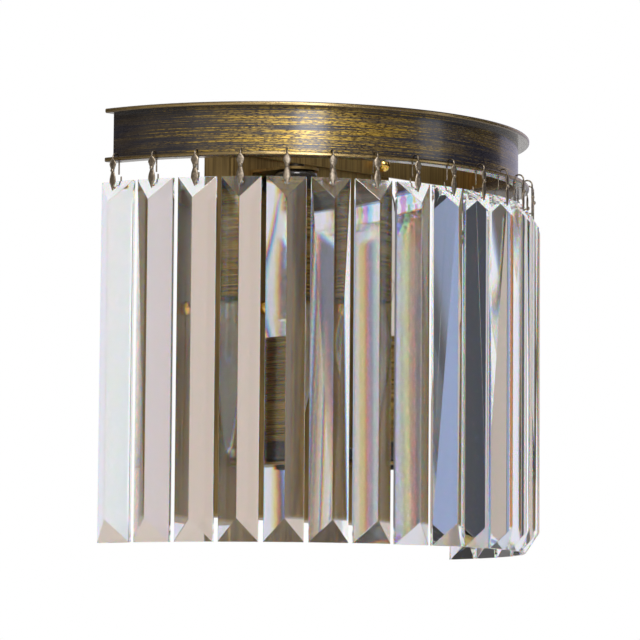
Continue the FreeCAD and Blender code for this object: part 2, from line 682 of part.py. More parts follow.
def clip():
    """Loop, strip and prong of one clip at the middle of the ring, pointing along -Y."""
    outer = -HOOK_RADIUS - LOOP_RADIUS
    inner = -HOOK_RADIUS + LOOP_RADIUS
    crest = HOOK_Z + LOOP_RADIUS
    behind = -CRYSTAL_BACK + PRONG_GAP + WIRE / 2
    loop = bent_wire(
        [
            Vector(0, inner, HOOK_Z - HOOK_TAIL),
            Vector(0, inner, crest),
            Vector(0, outer, crest),
            Vector(0, outer, HOOK_Z - WIRE),
        ],
        LOOP_RADIUS,
        WIRE / 2,
    )
    prong = bent_wire(
        [
            Vector(0, outer, CRYSTAL_HOLE_Z),
            Vector(0, behind, CRYSTAL_HOLE_Z),
            Vector(0, behind, CRYSTAL_TOP + PRONG_RISE),
        ],
        WIRE,
        WIRE / 2,
    )
    top = HOOK_Z
    drop = top - CRYSTAL_HOLE_Z
    right = [
        (WIRE / 2, 0.0),
        (LOBE_WIDTH / 2, drop * 0.19),
        (WAIST_WIDTH / 2, drop * 0.42),
        (LOWER_LOBE_WIDTH / 2, drop * 0.75),
        (WIRE / 2, drop + WIRE / 2),
    ]
    outline = [Vector(w, outer - WIRE / 2, top - d) for w, d in right]
    outline += [Vector(-w, outer - WIRE / 2, top - d) for w, d in reversed(right)]
    strip = Part.Face(Part.makePolygon(outline + outline[:1])).extrude(Vector(0, WIRE, 0))
    return loop.fuse(strip).fuse(prong)


# ---- write the parts ----------------------------------------------------------------------

os.makedirs("parts", exist_ok=True)

save("band", band())
save("top_rim", rim(TOP_RIM_BOTTOM))
save("lower_rim", lower_rim())
save("cross_bar", cross_bar())
save("backplate", backplate())
save("wall_bracket", wall_bracket())
save("ball_nuts", ball_nuts())
save("terminal_block", terminal_block())
save("bracket_screws", bracket_screws())
save("lead_grommets", lead_grommets())
save("lamp_nipples", for_both_lamps([lamp_nipple()]))
save("holder_contacts", for_both_lamps(holder_contacts()))
save("bulb_bases", for_both_lamps(bulb_base()))

lead_solids = []
for route in lamp_leads():
    lead_solids.append(bent_wire(route, LEAD_BEND, LEAD / 2))
save("lamp_leads", Part.makeCompound(lead_solids))

for place in lamp_places():
    save("lamp_bracket_" + place, place_lamp(lamp_bracket(), place))
    save("holder_cap_" + place, place_lamp(holder_cap(), place))
    save("lamp_sleeve_" + place, place_lamp(lamp_sleeve(), place))
    save("lampholder_" + place, place_lamp(lampholder(), place))
    save("bulb_glass_" + place, place_lamp(bulb_glass(), place))

for number, angle in enumerate(ring_angles(), start=1):
    save("crystal_%02d" % number, around_ring(crystal(), angle))
    save("clip_%02d" % number, around_ring(clip(), angle))
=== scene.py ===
"""Looks of the half-round crystal sconce: metal finishes, cut glass, bent wire clips, clear lamps.

Metres, in the part's frame: the wall is Y = 0, the room is towards -Y and Z is up.
"""

import json
import math

import bpy
import numpy as np
from mathutils import Matrix, Vector


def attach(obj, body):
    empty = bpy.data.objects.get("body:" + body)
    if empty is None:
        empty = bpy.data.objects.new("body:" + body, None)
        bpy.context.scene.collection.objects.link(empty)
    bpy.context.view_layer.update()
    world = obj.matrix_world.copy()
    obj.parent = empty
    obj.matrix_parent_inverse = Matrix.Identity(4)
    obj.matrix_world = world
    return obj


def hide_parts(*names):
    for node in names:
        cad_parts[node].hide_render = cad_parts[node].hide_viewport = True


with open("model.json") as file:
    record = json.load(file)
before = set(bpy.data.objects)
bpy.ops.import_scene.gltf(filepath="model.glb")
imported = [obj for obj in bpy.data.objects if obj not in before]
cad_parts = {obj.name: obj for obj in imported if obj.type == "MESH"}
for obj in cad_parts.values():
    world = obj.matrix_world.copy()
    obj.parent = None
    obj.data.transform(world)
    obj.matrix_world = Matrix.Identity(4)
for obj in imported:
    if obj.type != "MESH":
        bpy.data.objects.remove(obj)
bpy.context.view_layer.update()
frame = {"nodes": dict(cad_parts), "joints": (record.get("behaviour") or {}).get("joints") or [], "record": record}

# ---- places that the part's source gives, in metres ---------------------------------------

RING_CENTRE_Y = 0.010
BAND_RADIUS = 0.1435
RIM_RADIUS = 0.150
RIM_THICKNESS = 0.0025
BAND_LOW, BAND_HIGH = 0.03075, 0.05575
HOOK_RADIUS = 0.1498  # from the ring's centre to the middle of a clip's loop
LOOP_RADIUS = 0.00284
HOOK_TAIL = 0.0086  # the loop's inner leg, down from the loop's middle
HOLE_DROP = 0.0165  # from the loop's middle down to the crystal's hole
CRYSTAL_BACK = 0.14619  # from the ring's centre to the crystals' flat backs
WIRE = 0.0009
LAMP_X = 0.039
LAMP_Y = -0.0455
BULB_RIM = {"upper": (-LAMP_X, -0.0276, -1), "lower": (LAMP_X, -0.0727, 1)}  # x, z, way up


# ---- shader maths -------------------------------------------------------------------------


class Value:
    """A number socket. Sums, products and powers of it add Math nodes."""

    def __init__(self, finish, socket):
        self.finish, self.socket = finish, socket

    def maths(self, operation, *terms):
        inputs = dict(enumerate(terms))
        return self.finish.value("ShaderNodeMath", {"operation": operation}, inputs)

    def __add__(self, other):
        return self.maths("ADD", self, other)

    def __sub__(self, other):
        return self.maths("SUBTRACT", self, other)

    def __rsub__(self, other):
        return self.maths("SUBTRACT", other, self)

    def __mul__(self, other):
        return self.maths("MULTIPLY", self, other)

    def __truediv__(self, other):
        return self.maths("DIVIDE", self, other)

    def __rtruediv__(self, other):
        return self.maths("DIVIDE", other, self)

    def __pow__(self, other):
        return self.maths("POWER", self, other)

    def __rpow__(self, other):
        return self.maths("POWER", other, self)

    def __neg__(self):
        return self * -1.0

    def __abs__(self):
        return self.maths("ABSOLUTE", self)

    __radd__ = __add__
    __rmul__ = __mul__

    def turn(self, other):
        """The angle whose tangent is this over the other."""
        return self.maths("ARCTAN2", self, other)

    def most(self, other):
        return self.maths("MAXIMUM", self, other)

    def step(self, low, high, to_low=0.0, to_high=1.0):
        """A smooth step from one bound to the other."""
        settings = {"interpolation_type": "SMOOTHSTEP"}
        inputs = {0: self, 1: low, 2: high, 3: to_low, 4: to_high}
        return self.finish.value("ShaderNodeMapRange", settings, inputs)

    def between(self, rise, fall):
        """Goes from 0 to 1 over the rise and back to 0 over the fall."""
        return self.step(*rise) * self.step(*fall, 1.0, 0.0)


class Finish:
    """One material or world under construction."""

    def __init__(self, owner):
        owner.use_nodes = True
        self.owner = owner
        self.tree = owner.node_tree
        self.tree.nodes.clear()

    def node(self, kind, settings=None, inputs=None):
        """Any node: its settings first, then its sockets' values and links."""
        node = self.tree.nodes.new(kind)
        for name, setting in (settings or {}).items():
            if name == "stops":
                self.fill_ramp(node.color_ramp, setting)
            else:
                setattr(node, name, setting)
        for name, given in (inputs or {}).items():
            socket = node.inputs[name]
            given = getattr(given, "socket", given)
            if isinstance(given, bpy.types.NodeSocket):
                self.tree.links.new(given, socket)
            else:
                socket.default_value = given
        return node

    def fill_ramp(self, ramp, stops):
        """Two stops are there from the start; the rest are added, then all are set in order."""
        for place, _ in stops[2:]:
            ramp.elements.new(place)
        for element, (place, colour) in zip(ramp.elements, sorted(stops)):
            element.position = place
            element.color = (*colour, 1.0)

    def value(self, kind, settings=None, inputs=None):
        return Value(self, self.node(kind, settings, inputs).outputs[0])

    def shader(self, kind, inputs):
        return self.node(kind, {}, inputs).outputs[0]

    def coordinates(self, output):
        """One kind of texture coordinates as three numbers."""
        place = self.node("ShaderNodeTexCoord").outputs[output]
        split = self.node("ShaderNodeSeparateXYZ", {}, {0: place})
        return [Value(self, split.outputs[i]) for i in range(3)]

    def noise(self, x, y, z, detail=2.0, rough=0.5):
        at = self.node("ShaderNodeCombineXYZ", {}, {0: x, 1: y, 2: z}).outputs[0]
        inputs = {"Vector": at, "Scale": 1.0, "Detail": detail, "Roughness": rough}
        return self.value("ShaderNodeTexNoise", {}, inputs)

    def blend(self, share, first, second):
        """A colour between two colours."""
        settings = {"data_type": "RGBA", "clamp_factor": True}
        inputs = {0: share}
        for socket, colour in ((6, first), (7, second)):
            inputs[socket] = (*colour, 1.0) if isinstance(colour, tuple) else colour
        return self.node("ShaderNodeMix", settings, inputs).outputs[2]

    def bump(self, height, distance, strength):
        inputs = {"Height": height, "Distance": distance, "Strength": strength}
        return self.shader("ShaderNodeBump", inputs)

    def mix(self, share, first, second):
        return self.shader("ShaderNodeMixShader", {0: share, 1: first, 2: second})

    def add(self, first, second):
        return self.shader("ShaderNodeAddShader", {0: first, 1: second})

    def background(self, colour, strength=1.0):
        inputs = {"Color": colour, "Strength": strength}
        return self.shader("ShaderNodeBackground", inputs)

    def rays(self, *kinds):
        """1 for rays of any of these kinds."""
        path = self.node("ShaderNodeLightPath")
        total, *others = [Value(self, path.outputs[kind]) for kind in kinds]
        for other in others:
            total = total.most(other)
        return total

    def done(self, surface):
        is_world = isinstance(self.owner, bpy.types.World)
        kind = "ShaderNodeOutputWorld" if is_world else "ShaderNodeOutputMaterial"
        self.node(kind, {}, {"Surface": surface})
        return self.owner


def finish(name):
    return Finish(bpy.data.materials.new(name))


def opaque(f, inputs):
    return f.done(f.shader("ShaderNodeBsdfPrincipled", inputs))


# ---- finishes -----------------------------------------------------------------------------

# Noise is drawn at Scale 1, so a number times a coordinate is features per metre. Each metal
# has a dark and a bright colour, and the sheet metals a third one that lies over them.

LACQUER = (0.009, 0.008, 0.014)
LACQUER_BROWN = (0.040, 0.026, 0.010)
GOLD_DEEP = (0.15, 0.085, 0.010)
GOLD_BRIGHT = (0.62, 0.41, 0.062)
GOLD_AND_HIGHLIGHT_LEFT = 0.68  # radians to the left of straight on, where most gold lies: partly the real rubbing, partly a painted highlight
LEFT_END_FADE_AND_SHADE = (1.24, 1.38)  # radians to the left, over which the gold fades towards the end: partly real, partly painted shade

RIM_DARK = (0.050, 0.034, 0.020)
RIM_BRIGHT = (0.115, 0.080, 0.042)
RIM_WORN = (0.50, 0.36, 0.14)
BAND_MIDDLE = (BAND_LOW + BAND_HIGH) / 2
RIM_OFFSET = (BAND_HIGH - BAND_LOW + RIM_THICKNESS) / 2  # a rim's middle from the band's

PLATE_DARK = (0.155, 0.096, 0.030)
PLATE_BRIGHT = (0.320, 0.208, 0.072)
PLATE_CLOUD = (0.220, 0.155, 0.057)

SLEEVE_DARK = (0.085, 0.050, 0.012)
SLEEVE_BRIGHT = (0.34, 0.225, 0.062)
SLEEVE_CLOUD = (0.13, 0.085, 0.024)


def band_bronze():
    """Black lacquer with gold rubbed on in streaks. The brushing runs round the ring: noise
    stretched along the arc, thin across its height."""
    f = finish("band_rubbed_bronze")
    x, y, z = f.coordinates("Object")
    angle = x.turn(RING_CENTRE_Y - y)
    arc = angle * BAND_RADIUS
    streaks = f.noise(arc * 9.0, z * 1500.0, 3.1, 4.0, 0.66)
    grain = f.noise(arc * 420.0, z * 1900.0, 7.7, 2.0, 0.6)
    patches = f.noise(arc * 22.0, z * 190.0, 1.9, 2.0, 0.5)
    # More gold round the front-left and less further round: partly the real rubbing, partly a painted highlight
    # with painted shade beyond it.
    gold_and_highlight_spread = abs(angle + GOLD_AND_HIGHLIGHT_LEFT).step(0.10, 0.75, 0.045, -0.06)
    lines = f.noise(arc * 6.0, z * 2600.0, 9.1, 2.0, 0.5).step(0.56, 0.66, 0.0, 0.75)
    # Gold fades near the left end: partly real, partly painted shade.
    end_fade_and_shade = (-angle).step(*LEFT_END_FADE_AND_SHADE, 1.0, 0.15)
    gold = (streaks * 0.74 + patches * 0.26 + gold_and_highlight_spread).step(0.50, 0.61)
    gold = gold.most(lines) * grain.step(0.28, 0.55, 0.25, 1.0) * end_fade_and_shade
    lacquer = f.blend(patches.step(0.4, 0.7), LACQUER, LACQUER_BROWN)
    metal = f.blend(grain.step(0.35, 0.65), GOLD_DEEP, GOLD_BRIGHT)
    inputs = {
        "Base Color": f.blend(gold, lacquer, metal),
        "Metallic": gold,
        "Roughness": grain.step(0.3, 0.7, 0.24, 0.40),
        "Normal": f.bump(gold * 0.6 + grain * 0.4, 0.00005, 0.6),
        "Coat Weight": 0.5,
        "Coat IOR": 1.65,
        "Coat Roughness": 0.13,
    }
    return opaque(f, inputs)


def rim_bronze():
    """Dark bronze drawn round the ring, worn to gold along the rim's outer edge."""
    f = finish("rim_rubbed_bronze")
    x, y, z = f.coordinates("Object")
    behind = RING_CENTRE_Y - y
    arc = x.turn(behind) * RIM_RADIUS
    radius = (x * x + behind * behind) ** 0.5
    streaks = f.noise(arc * 14.0, (radius + z) * 1500.0, 5.3, 3.0, 0.6)
    grain = f.noise(arc * 300.0, (radius + z) * 1500.0, 2.2, 2.0, 0.6)
    off_middle = abs(abs(z - BAND_MIDDLE) - RIM_OFFSET)
    worn = radius.step(RIM_RADIUS - 0.0011, RIM_RADIUS - 0.0001)
    worn = worn * off_middle.step(0.0002, 0.0009, 1.0, 0.0)
    worn = worn * streaks.step(0.36, 0.58, 0.35, 1.0)
    base = f.blend(streaks.step(0.35, 0.65), RIM_DARK, RIM_BRIGHT)
    inputs = {
        "Base Color": f.blend(worn, base, RIM_WORN),
        "Metallic": 0.9,
        "Roughness": grain.step(0.3, 0.7, 0.20, 0.34),
        "Normal": f.bump(streaks * 0.6 + grain * 0.4, 0.00003, 0.5),
        "Coat Weight": 0.3,
        "Coat Roughness": 0.10,
    }
    return opaque(f, inputs)


def plate_bronze():
    """Olive bronze sheet with a faint upright brushing."""
    f = finish("plate_brushed_bronze")
    x, y, z = f.coordinates("Object")
    streaks = f.noise((x + y) * 900.0, z * 22.0, 4.4, 3.0, 0.6)
    clouds = f.noise(x * 28.0, y * 28.0, z * 16.0, 3.0, 0.55)
    base = f.blend(streaks.step(0.35, 0.65), PLATE_DARK, PLATE_BRIGHT)
    inputs = {
        "Base Color": f.blend(clouds.step(0.35, 0.7, 0.0, 0.5), base, PLATE_CLOUD),
        "Metallic": 0.80,
        "Roughness": streaks.step(0.3, 0.7, 0.36, 0.50),
        "Normal": f.bump(streaks, 0.00003, 0.5),
    }
    return opaque(f, inputs)


def sleeve_bronze():
    """Turned bronze: fine rings round the sleeve, gold where the tool cut brightest."""
    f = finish("sleeve_turned_bronze")
    x, y, z = f.coordinates("Object")
    rings = f.noise(x * 12.0, y * 12.0, z * 2700.0, 3.0, 0.7)
    clouds = f.noise(x * 60.0, y * 60.0, z * 40.0, 2.0, 0.5)
    base = f.blend(rings.step(0.34, 0.66), SLEEVE_DARK, SLEEVE_BRIGHT)
    inputs = {
        "Base Color": f.blend(clouds.step(0.45, 0.75, 0.0, 0.6), base, SLEEVE_CLOUD),
        "Metallic": 0.95,
        "Roughness": rings.step(0.3, 0.7, 0.20, 0.34),
        "Normal": f.bump(rings, 0.00003, 0.6),
        "Coat Weight": 0.5,
        "Coat Roughness": 0.10,
    }
    return opaque(f, inputs)


def plain_metal(name, dark, bright, rough, scale):
    """A metal with a cloudy tarnish and fine scratches."""
    f = finish(name)
    x, y, z = f.coordinates("Object")
    clouds = f.noise(x * scale, y * scale, z * scale, 3.0, 0.6)
    scratches = f.noise(x * scale * 9.0, y * scale * 9.0, z * scale * 2.0, 2.0, 0.6)
    inputs = {
        "Base Color": f.blend(clouds.step(0.3, 0.7), dark, bright),
        "Metallic": 1.0,
        "Roughness": scratches.step(0.3, 0.7, rough * 0.75, rough * 1.35),
        "Normal": f.bump(scratches, 0.00002, 0.4),
    }
    return opaque(f, inputs)


def moulded(name, dark, bright, rough, scale, coat=0.0):
    """A moulded or lacquered surface with a fine orange-peel texture."""
    f = finish(name)
    x, y, z = f.coordinates("Object")
    peel = f.noise(x * scale, y * scale, z * scale, 2.0, 0.5)
    clouds = f.noise(x * scale * 0.07, y * scale * 0.07, z * scale * 0.07, 2.0, 0.5)
    inputs = {
        "Base Color": f.blend(clouds.step(0.35, 0.65), dark, bright),
        "Roughness": peel.step(0.3, 0.7, rough * 0.85, rough * 1.2),
        "Normal": f.bump(peel, 0.00003, 0.4),
        "Coat Weight": coat,
        "Coat Roughness": 0.08,
    }
    return opaque(f, inputs)


def lamp_reach(f, glass):
    """Lets the light of lamps and of lit surfaces through the glass."""
    clear = f.shader("ShaderNodeBsdfTransparent", {0: (0.94, 0.94, 0.94, 1.0)})
    return f.done(f.mix(f.rays("Is Shadow Ray", "Is Diffuse Ray"), glass, clear))


# The crystals' refractive indices for reddish, greenish and bluish light, with its tint.
BEAMS = {1.548: (0.62, 0.17, 0.06), 1.560: (0.27, 0.62, 0.26), 1.575: (0.10, 0.20, 0.67)}
CRYSTAL_IOR = 1.560
BULB_IOR = 1.47


def cut_crystal():
    """Cut glass: reddish, greenish and bluish light are bent by their own index each, so that
    edges throw a spectrum."""
    f = finish("cut_crystal")
    beams = []
    for index, tint in BEAMS.items():
        inputs = {"Color": (*tint, 1.0), "Roughness": 0.0, "IOR": index}
        beams.append(f.shader("ShaderNodeBsdfRefraction", inputs))
    bent = f.add(f.add(beams[0], beams[1]), beams[2])
    gleam = f.shader("ShaderNodeBsdfAnisotropic", {"Color": (1, 1, 1, 1), "Roughness": 0.0})
    edge = f.value("ShaderNodeFresnel", {}, {"IOR": CRYSTAL_IOR})
    return lamp_reach(f, f.mix(edge, bent, gleam))


def bulb_glass():
    """Thin clear glass."""
    f = finish("bulb_clear_glass")
    inputs = {"Color": (0.985, 0.985, 0.98, 1.0), "Roughness": 0.0, "IOR": BULB_IOR}
    return lamp_reach(f, f.shader("ShaderNodeBsdfGlass", inputs))


# For each slot its material's name, dark and bright colour, roughness and clouds per metre.
METALS = {
    "zinc_steel": ("zinc_steel", (0.42, 0.42, 0.41), (0.62, 0.62, 0.60), 0.34, 300.0),
    "burnt_steel": ("burnt_steel", (0.03, 0.025, 0.02), (0.07, 0.06, 0.05), 0.40, 300.0),
    "nut_brass": ("nut_brass", (0.62, 0.36, 0.07), (0.86, 0.58, 0.17), 0.16, 500.0),
    "contact_brass": ("contact_brass", (0.52, 0.33, 0.10), (0.74, 0.52, 0.20), 0.28, 400.0),
    "clip_wire": ("clip_nickel", (0.15, 0.122, 0.088), (0.33, 0.275, 0.205), 0.36, 700.0),
    "filament": ("filament_tungsten", (0.30, 0.29, 0.27), (0.48, 0.46, 0.43), 0.30, 900.0),
}

# The same, with the grains of its peel for clouds, and for a lacquer the weight of its coat.
MOULDINGS = {
    "white_plastic": ("white_plastic", (0.70, 0.69, 0.65), (0.80, 0.79, 0.76), 0.42, 2600.0),
    "cap_black": (
        "cap_black_lacquer", (0.008, 0.007, 0.006), (0.022, 0.019, 0.015), 0.26, 2400.0, 0.6,
    ),
    "holder_black": ("holder_black", (0.012, 0.012, 0.012), (0.026, 0.025, 0.024), 0.46, 2200.0),
    "black_rubber": ("black_rubber", (0.014, 0.014, 0.014), (0.030, 0.029, 0.028), 0.68, 1800.0),
    "lead_sheath": ("lead_sheath", (0.030, 0.028, 0.026), (0.060, 0.056, 0.052), 0.55, 1700.0),
}

finishes = {
    "band_bronze": band_bronze(),
    "rim_bronze": rim_bronze(),
    "plate_bronze": plate_bronze(),
    "sleeve_bronze": sleeve_bronze(),
    "bulb_glass": bulb_glass(),
    "crystal": cut_crystal(),
}
finishes.update({slot: plain_metal(*recipe) for slot, recipe in METALS.items()})
finishes.update({slot: moulded(*recipe) for slot, recipe in MOULDINGS.items()})

OWN_FINISH = {"lamp_nipples": "burnt_steel"}  # nodes that don't take their slot's finish

for entry in frame["record"]["subparts"]:
    piece = frame["nodes"][entry["node"]]
    piece.data.materials.clear()
    piece.data.materials.append(finishes[OWN_FINISH.get(entry["node"], entry["material_slot"])])


WELD_REACH = 0.000005
CHAMFER = 0.00016
LEAST_ARRIS = math.radians(25)


def ground_edges(piece):
    """The narrow polished chamfer along every arris of a cut crystal."""
    weld = piece.modifiers.new("weld", "WELD")
    weld.merge_threshold = WELD_REACH
    chamfer = piece.modifiers.new("chamfer", "BEVEL")
    chamfer.width, chamfer.segments = CHAMFER, 1
    chamfer.limit_method, chamfer.angle_limit = "ANGLE", LEAST_ARRIS


for name, piece in frame["nodes"].items():
    if name.startswith("crystal_"):
        ground_edges(piece)


# ---- pieces -------------------------------------------------------------------------------

ACROSS = np.array([1.0, 0.0, 0.0])
TO_WALL = np.array([0.0, 1.0, 0.0])
WIRE_SIDES = 8
LOBE_SIDES = 12


def carried_section(path, across, width, depth, sides):
    """A closed rod: at each point of the path stands an ellipse, `width` wide along `across`
    and `depth` deep along (tangent x across); a point at each end closes it.
    Returns vertices and faces as whole arrays."""
    path = np.asarray(path, float)
    tangent = np.gradient(path, axis=0)
    tangent /= np.linalg.norm(tangent, axis=1)[:, None]
    side = across - (tangent @ across)[:, None] * tangent
    side /= np.linalg.norm(side, axis=1)[:, None]
    front = np.cross(tangent, side)
    turn = np.linspace(0, 2 * np.pi, sides, endpoint=False)
    width = np.broadcast_to(width, len(path))[:, None, None] / 2
    depth = np.broadcast_to(depth, len(path))[:, None, None] / 2
    ring = side[:, None] * np.cos(turn)[None, :, None] * width
    ring = ring + front[:, None] * np.sin(turn)[None, :, None] * depth
    points = (path[:, None] + ring).reshape(-1, 3)
    points = np.vstack([points, path[:1], path[-1:]])
    first_tip, last_tip = len(points) - 2, len(points) - 1
    column = np.arange(sides)
    after = (column + 1) % sides
    rows, columns = np.meshgrid(np.arange(len(path) - 1), column, indexing="ij")
    next_columns = (columns + 1) % sides
    quads = [rows * sides + columns, rows * sides + next_columns]
    quads += [(rows + 1) * sides + next_columns, (rows + 1) * sides + columns]
    quads = np.stack(quads, -1).reshape(-1, 4)
    last = (len(path) - 1) * sides
    start = np.stack([column, np.full(sides, first_tip), after], -1)
    end = np.stack([last + after, np.full(sides, last_tip), last + column], -1)
    return points, quads.tolist() + start.tolist() + end.tolist()


def averaged(line):
    """Each inner entry becomes a quarter of its two neighbours and half of itself."""
    line[1:-1] = (line[:-2] + 2 * line[1:-1] + line[2:]) / 4


def rounded(corners, steps):
    """A smooth line near the given corners: even steps along the runs, then averaged twice."""
    corners = np.asarray(corners, float)
    runs = np.linalg.norm(np.diff(corners, axis=0), axis=1)
    reach = np.concatenate([[0], np.cumsum(runs)])
    at = np.linspace(0, reach[-1], steps)
    line = np.stack([np.interp(at, reach, corners[:, k]) for k in range(3)], -1)
    averaged(line)
    averaged(line)
    return line


def joined(name, shapes, material, body):
    """One smooth mesh object from several closed shapes, riding on a body."""
    points, faces, start = [], [], 0
    for shape_points, shape_faces in shapes:
        points.append(shape_points)
        faces += [[start + i for i in face] for face in shape_faces]
        start += len(shape_points)
    mesh = bpy.data.meshes.new(name)
    mesh.from_pydata(np.vstack(points).tolist(), [], faces)
    mesh.update()
    mesh.polygons.foreach_set("use_smooth", np.full(len(faces), True))
    mesh.materials.append(material)
    piece = bpy.data.objects.new(name, mesh)
    bpy.context.scene.collection.objects.link(piece)
    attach(piece, body)
    return piece


# The clip's own sizes; heights are from the loop's middle.
STRIP_TOP = -0.0004
LOOP_END = -0.0012  # inside the strip
STRIP_FOOT = 0.0012  # the strip below the crystal's hole
STRIP_THICKNESS = 0.0010
LOBE_STATIONS = (0.0, 0.06, 0.17, 0.30, 0.38, 0.46, 0.60, 0.73, 0.84, 0.94, 1.0)
LOBE_WIDTHS = (
    0.0012, 0.0030, 0.0050, 0.0031, 0.0020, 0.0026, 0.0041, 0.0045, 0.0028, 0.0014, 0.0004,
)
BEAD_MIDDLE = -0.0070
BEAD_HALF_HEIGHT = 0.0012
BEAD_GIRTH = 0.0023
BEAD_STANDOUT = 0.0004
PRONG_BEHIND = 0.0012  # the prong behind the crystal's back
PRONG_RISE = 0.0070


def hook_loop():
    """The inner leg, a half turn of wire over the rim and a short end in the strip."""
    turn = np.linspace(0, np.pi, 15)[::-1]
    crest = [0 * turn, -np.cos(turn) * LOOP_RADIUS, np.sin(turn) * LOOP_RADIUS]
    leg = np.linspace([0.0, LOOP_RADIUS, -HOOK_TAIL], [0.0, LOOP_RADIUS, STRIP_TOP], 8)
    end = np.linspace([0.0, -LOOP_RADIUS, STRIP_TOP], [0.0, -LOOP_RADIUS, LOOP_END], 3)
    line = np.vstack([leg, np.stack(crest, -1), end])
    return carried_section(line, ACROSS, WIRE, WIRE, WIRE_SIDES)


def lobed_strip():
    """An upright strip whose width follows the stations, averaged once."""
    along = np.linspace(0, 1, 37)
    wide = np.interp(along, LOBE_STATIONS, LOBE_WIDTHS)
    averaged(wide)
    height = STRIP_TOP - along * (HOLE_DROP + STRIP_FOOT)
    line = np.stack([0 * height, 0 * height - LOOP_RADIUS, height], -1)
    return carried_section(line, ACROSS, wide, STRIP_THICKNESS, LOBE_SIDES)


def waist_bead():
    """A bead before the strip's waist: its girth is the root of 1 - height squared."""
    rise = np.linspace(-1, 1, 11)
    height = BEAD_MIDDLE + rise * BEAD_HALF_HEIGHT
    line = np.stack([0 * height, 0 * height - LOOP_RADIUS - BEAD_STANDOUT, height], -1)
    girth = BEAD_GIRTH * np.sqrt(np.clip(1 - rise**2, 0.02, 1))
    return carried_section(line, ACROSS, girth, girth * 0.9, LOBE_SIDES)


def prong():
    """From the strip's foot through the crystal's hole and up behind the crystal."""
    behind = HOOK_RADIUS - CRYSTAL_BACK + PRONG_BEHIND
    corners = [
        (0.0, -LOOP_RADIUS, -HOLE_DROP),
        (0.0, behind, -HOLE_DROP),
        (0.0, behind, PRONG_RISE - HOLE_DROP),
    ]
    return carried_section(rounded(corners, 22), ACROSS, WIRE, WIRE, WIRE_SIDES)


def placed(shapes, joint):
    """Turns shapes drawn at the ring's middle about the hook's own point to face outwards."""
    pivot = np.array(joint["pos_m"], float)
    out = pivot - np.array([0.0, RING_CENTRE_Y, 0.0])
    angle = math.atan2(out[0], -out[1])
    c, s = math.cos(angle), math.sin(angle)
    turn = np.array([[c, -s, 0.0], [s, c, 0.0], [0.0, 0.0, 1.0]])
    return [(points @ turn.T + pivot, faces) for points, faces in shapes]


# Drawn once at the middle of the ring, with the loop's middle at the origin and -Y outwards.
clip_drawn = [hook_loop(), lobed_strip(), waist_bead(), prong()]
for joint in frame["joints"]:
    number = joint["name"].rsplit("_", 1)[1]
    shapes = placed(clip_drawn, joint)
    piece = joined("wire_clip_" + number, shapes, finishes["clip_wire"], "pendant_" + number)
    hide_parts("clip_" + number)


# A lamp's own sizes; heights are from the base's rim towards the bulb's tip.
STEM_STATIONS = (0.0, 0.004, 0.010, 0.018, 0.022, 0.024, 0.026)
STEM_GIRTHS = (0.0125, 0.0115, 0.0064, 0.0052, 0.0046, 0.0062, 0.0030)
SUPPORT_CORNERS = ((0.0012, 0.020), (0.0020, 0.028), (0.0062, 0.046))  # out, up
SUPPORT_WIRE = 0.0004
FILAMENT_HEIGHT = 0.046
FILAMENT_SPAN = 0.0124
FILAMENT_ARCH = 0.004
FILAMENT_WIRE = 0.00022
COIL_TURNS = 20
COIL_RADIUS = 0.0006
COIL_SLANT = 0.0003


def lamp_inside(place):
    """One lamp's glass mount, its two support wires and its filament. The mount is a rod whose
    girth follows the stations, and the filament is a helix along a sine arch."""
    x, rim, way = BULB_RIM[place]
    centre = np.array([x, LAMP_Y, rim])

    def at(offsets):
        return centre + np.asarray(offsets, float) * np.array([1.0, 1.0, way])

    height = np.linspace(0.0, STEM_STATIONS[-1], 20)
    girth = np.interp(height, STEM_STATIONS, STEM_GIRTHS)
    stem_line = at(np.stack([0 * height, 0 * height, height], -1))
    mount = carried_section(stem_line, ACROSS, girth, girth * 0.8, 20)
    stem = joined("lamp_stem_" + place, [mount], finishes["bulb_glass"], "frame")
    wires = []
    for side in (-1, 1):
        line = at(rounded([(side * out, 0, up) for out, up in SUPPORT_CORNERS], 14))
        wires.append(carried_section(line, TO_WALL, SUPPORT_WIRE, SUPPORT_WIRE, 6))
    t = np.linspace(0, 1, 241)
    coil = 2 * np.pi * COIL_TURNS * t
    arch = FILAMENT_HEIGHT + FILAMENT_ARCH * np.sin(np.pi * t)
    helix = [
        (t - 0.5) * FILAMENT_SPAN + COIL_SLANT * np.cos(coil),
        COIL_RADIUS * np.sin(coil),
        arch + COIL_RADIUS * np.cos(coil),
    ]
    tilted = np.array([0.0, 1.0, 0.01])  # off TO_WALL, so that the wire never runs along it
    line = at(np.stack(helix, -1))
    wires.append(carried_section(line, tilted, FILAMENT_WIRE, FILAMENT_WIRE, 5))
    joined("lamp_filament_" + place, wires, finishes["filament"], "frame")


for place in BULB_RIM:
    lamp_inside(place)


# ---- studio -------------------------------------------------------------------------------

SEEN = ("Is Camera Ray", "Is Glossy Ray", "Is Transmission Ray")
FLOOR_REACH = 6.0
FLOOR_Z = -0.60
PALE = ((0.78, 0.78, 0.78), (0.82, 0.82, 0.82))
WHITE = (1, 1, 1, 1)
SOFT_LIGHT = (0.95, 0.97, 1.0, 1.0)

